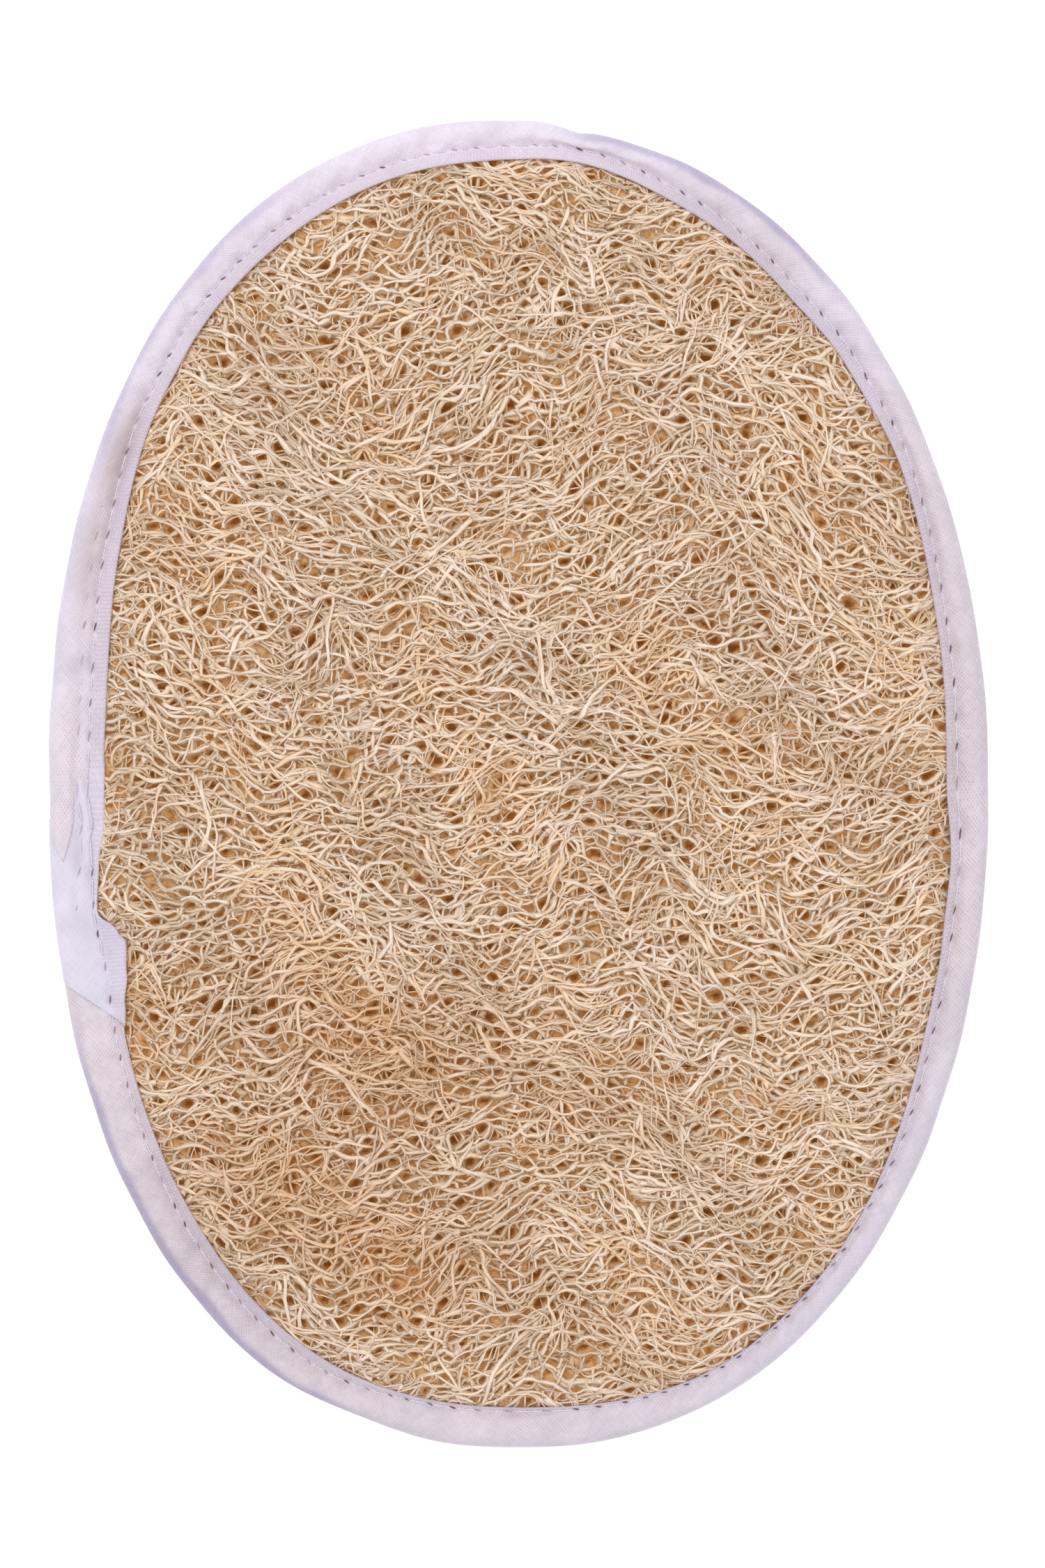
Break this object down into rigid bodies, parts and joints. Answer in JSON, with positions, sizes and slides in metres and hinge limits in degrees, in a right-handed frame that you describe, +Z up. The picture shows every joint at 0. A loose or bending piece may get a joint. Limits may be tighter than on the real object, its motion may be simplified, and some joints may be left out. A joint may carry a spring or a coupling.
{
  "type": "loofah back scrubber",
  "caption": "Oval loofah pad in a cotton-bound rim, with foam and a cloth back, and an elastic hand strap that stretches away from the back.",
  "frame": {"origin": "on the surface that it lies on, below the middle of the oval", "axes": "+X across the pad, +Y along it, +Z up out of the loofah face"},
  "size_m": [0.113, 0.16, 0.015],
  "materials": {
    "loofah": "matte natural plant fibre, cream on top and orange-brown deep in the pores",
    "foam": "open-cell foam",
    "terry": "matte cotton terry",
    "binding": "matte plain-weave cotton cut on the bias",
    "binding_smooth": "matte closely woven cotton",
    "thread": "sewing thread with a slight sheen",
    "elastic": "ribbed knitted elastic"
  },
  "bodies": {
    "pad": {"loofah_pad": "loofah", "foam_core": "foam", "back_cloth": "terry", "binding_tape": "binding", "binding_lap": "binding_smooth", "needle_thread": "thread", "bobbin_thread": "thread", "overlap_thread": "thread", "strap_end_left": "elastic", "strap_end_right": "elastic"},
    "strap": {"hand_strap": "elastic"}
  },
  "joints": [
    {"name": "strap_stretch", "type": "slide", "parent": "pad", "child": "strap", "axis": [0, 0, -1], "range_m": [0, 0.02], "stiffness_N_per_m": 150, "deforming": ["hand_strap"]}
  ]
}
